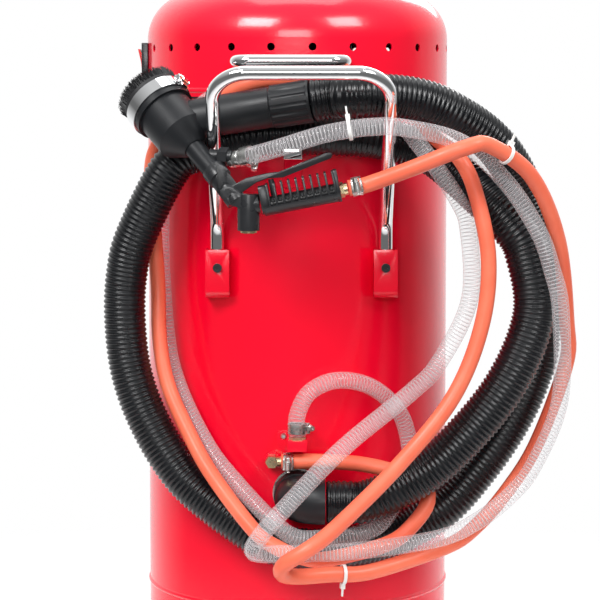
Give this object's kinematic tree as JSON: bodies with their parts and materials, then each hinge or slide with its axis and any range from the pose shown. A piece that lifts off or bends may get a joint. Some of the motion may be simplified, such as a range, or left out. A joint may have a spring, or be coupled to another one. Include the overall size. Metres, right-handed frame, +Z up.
{
  "type": "vacuum blaster",
  "caption": "Portable dust-free abrasive blaster: round steel tank on wheels with a lift-off motor head, a push handle and a coiled hose bundle with a finned, brushed blast gun.",
  "frame": {"origin": "on the floor, on the tank's vertical axis", "axes": "+Z up along the tank, -Y towards the front with the push handle and hoses, +X to the right seen from the front"},
  "size_m": [0.4447, 0.4631, 0.763],
  "materials": {
    "red_paint": "glossy red powder coat",
    "chrome": "polished chrome plate",
    "black_rubber": "matte black rubber",
    "black_plastic": "matte black plastic",
    "red_switch": "glossy red plastic",
    "brass": "turned brass, lightly dulled",
    "zinc": "zinc-plated steel, satin",
    "orange_hose": "satin orange polyurethane",
    "clear_hose": "clear PVC with a steel spiral",
    "white_nylon": "white nylon",
    "filter_paper": "pleated filter paper",
    "tyre": "dark grey rubber tread"
  },
  "bodies": {
    "cart": {"tank_shell": "red_paint", "base_skirt": "red_paint", "hopper_cone": "red_paint", "pickup_pipe": "zinc", "air_line": "brass", "rim_gasket": "black_rubber", "push_handle": "chrome", "bracket_left": "red_paint", "bracket_right": "red_paint", "bracket_bolts": "black_plastic", "hose_hook": "chrome", "manifold_block": "red_paint", "manifold_screws": "zinc", "sand_stem": "brass", "sand_clamp_tank": "zinc", "air_barb_tank": "brass", "air_clamp_tank": "zinc", "vacuum_inlet": "zinc", "inlet_elbow": "black_rubber", "air_inlet_nipple": "brass", "axle": "zinc", "axle_hangers": "zinc", "caster_plates": "zinc", "blast_head": "black_rubber", "brush_ring": "black_plastic", "brush_clamp": "chrome", "blast_nozzle": "zinc", "suction_cuff": "black_rubber", "hose_cuff": "black_rubber", "sand_port": "brass", "sand_clamp_gun": "zinc", "valve_body": "black_plastic", "stub_plug": "brass", "grip": "black_plastic", "trigger_pin": "zinc", "air_barb_gun": "brass", "air_clamp_gun": "zinc", "vacuum_hose": "black_rubber", "sand_hose": "clear_hose", "air_hose": "orange_hose", "tie_front": "white_nylon", "tie_right": "white_nylon", "tie_bottom": "white_nylon"},
    "head": {"cover_shell": "red_paint", "cover_grip": "chrome", "switch_plate": "black_plastic", "cable_gland": "black_plastic", "motor_deck": "zinc", "vacuum_motor": "black_plastic", "filter_cartridge": "filter_paper"},
    "rocker": {"rocker": "red_switch"},
    "trigger": {"trigger": "black_plastic"},
    "valve_plunger": {"valve_plunger": "brass"},
    "wheel_left": {"wheel_left": "tyre"},
    "wheel_right": {"wheel_right": "tyre"},
    "caster_fork_left": {"caster_fork_left": "zinc"},
    "caster_fork_right": {"caster_fork_right": "zinc"},
    "caster_wheel_left": {"caster_wheel_left": "tyre"},
    "caster_wheel_right": {"caster_wheel_right": "tyre"}
  },
  "joints": [
    {"name": "head_lift", "type": "slide", "parent": "cart", "child": "head", "axis": [0, 0, 1], "range_m": [0, 0.3]},
    {"name": "switch_rock", "type": "hinge", "parent": "head", "child": "rocker", "pos_m": [-0.155, 0, 0.694], "axis": [0, 1, 0], "range_deg": [0, 14]},
    {"name": "trigger_pull", "type": "hinge", "parent": "cart", "child": "trigger", "pos_m": [-0.0625, -0.246, 0.5745], "axis": [0, 1, 0], "range_deg": [0, 5], "stiffness_Nm_per_rad": 2, "springref_deg": -4.58},
    {"name": "valve_slide", "type": "slide", "parent": "cart", "child": "valve_plunger", "axis": [0.196, 0, -0.9806], "range_m": [0, 0.0037]},
    {"name": "wheel_left_spin", "type": "hinge", "parent": "cart", "child": "wheel_left", "pos_m": [-0.108, 0.078, 0.034], "axis": [1, 0, 0], "continuous": true},
    {"name": "wheel_right_spin", "type": "hinge", "parent": "cart", "child": "wheel_right", "pos_m": [0.108, 0.078, 0.034], "axis": [1, 0, 0], "continuous": true},
    {"name": "caster_left_swivel", "type": "hinge", "parent": "cart", "child": "caster_fork_left", "pos_m": [-0.084, -0.084, 0.06], "axis": [0, 0, 1], "continuous": true},
    {"name": "caster_right_swivel", "type": "hinge", "parent": "cart", "child": "caster_fork_right", "pos_m": [0.084, -0.084, 0.06], "axis": [0, 0, 1], "continuous": true},
    {"name": "caster_left_roll", "type": "hinge", "parent": "caster_fork_left", "child": "caster_wheel_left", "pos_m": [-0.084, -0.066, 0.025], "axis": [1, 0, 0], "continuous": true},
    {"name": "caster_right_roll", "type": "hinge", "parent": "caster_fork_right", "child": "caster_wheel_right", "pos_m": [0.084, -0.066, 0.025], "axis": [1, 0, 0], "continuous": true}
  ],
  "couplings": [
    {"joint": "valve_slide", "follows": "trigger_pull", "m_per_rad": 0.0405}
  ]
}
